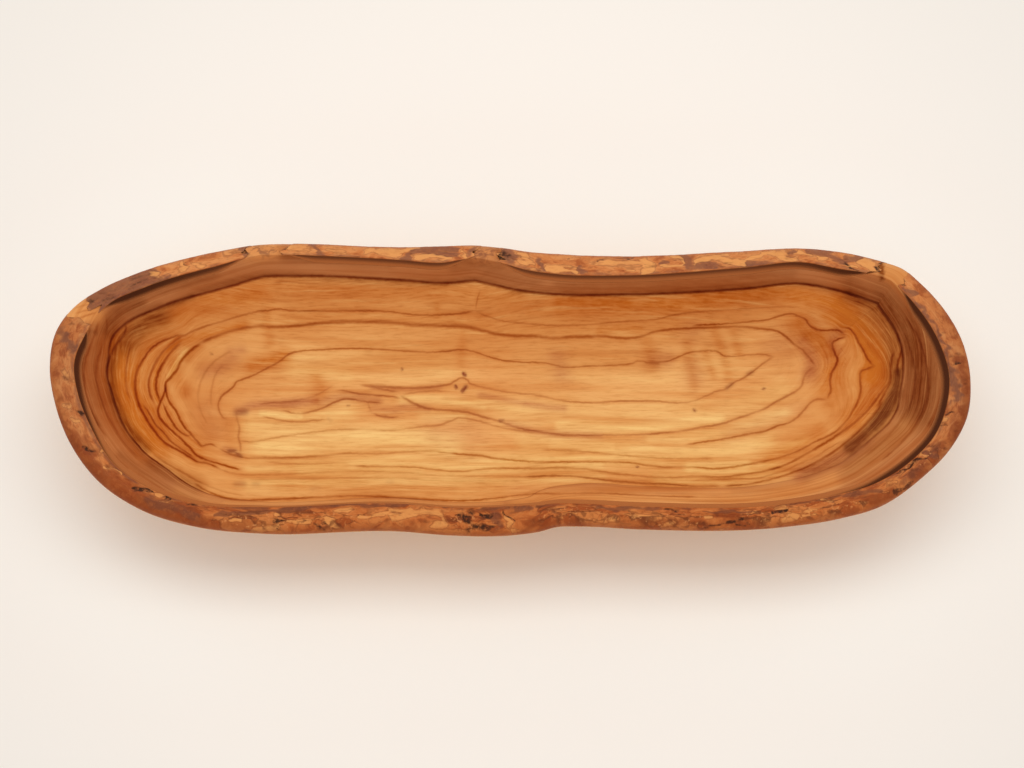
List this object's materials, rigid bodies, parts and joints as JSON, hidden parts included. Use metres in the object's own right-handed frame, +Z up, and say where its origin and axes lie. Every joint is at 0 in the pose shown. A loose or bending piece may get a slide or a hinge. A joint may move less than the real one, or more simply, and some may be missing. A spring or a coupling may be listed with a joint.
{
  "type": "wooden bread bowl",
  "caption": "Long rustic bread bowl carved from half an olive log, with a scooped cavity, a flat underside and strips of bark left on its natural-edge rim.",
  "frame": {"origin": "centre of the underside, where the bowl stands, below the middle of its box", "axes": "+X along the bowl's length towards its more flared end, +Y towards the rear rim with its bare ridge and knot, +Z up out of the cavity"},
  "size_m": [0.4, 0.136, 0.063],
  "materials": {
    "olive_wood": "oiled olive wood, satin, golden with dark brown growth rings",
    "olive_bark": "sealed olive bark, satin, mottled brown, orange and near black"
  },
  "bodies": {
    "root": {"bowl_body": "olive_wood", "bark_rear_left": "olive_bark", "bark_rear_middle": "olive_bark", "bark_rear_right": "olive_bark", "bark_front": "olive_bark"}
  },
  "joints": []
}
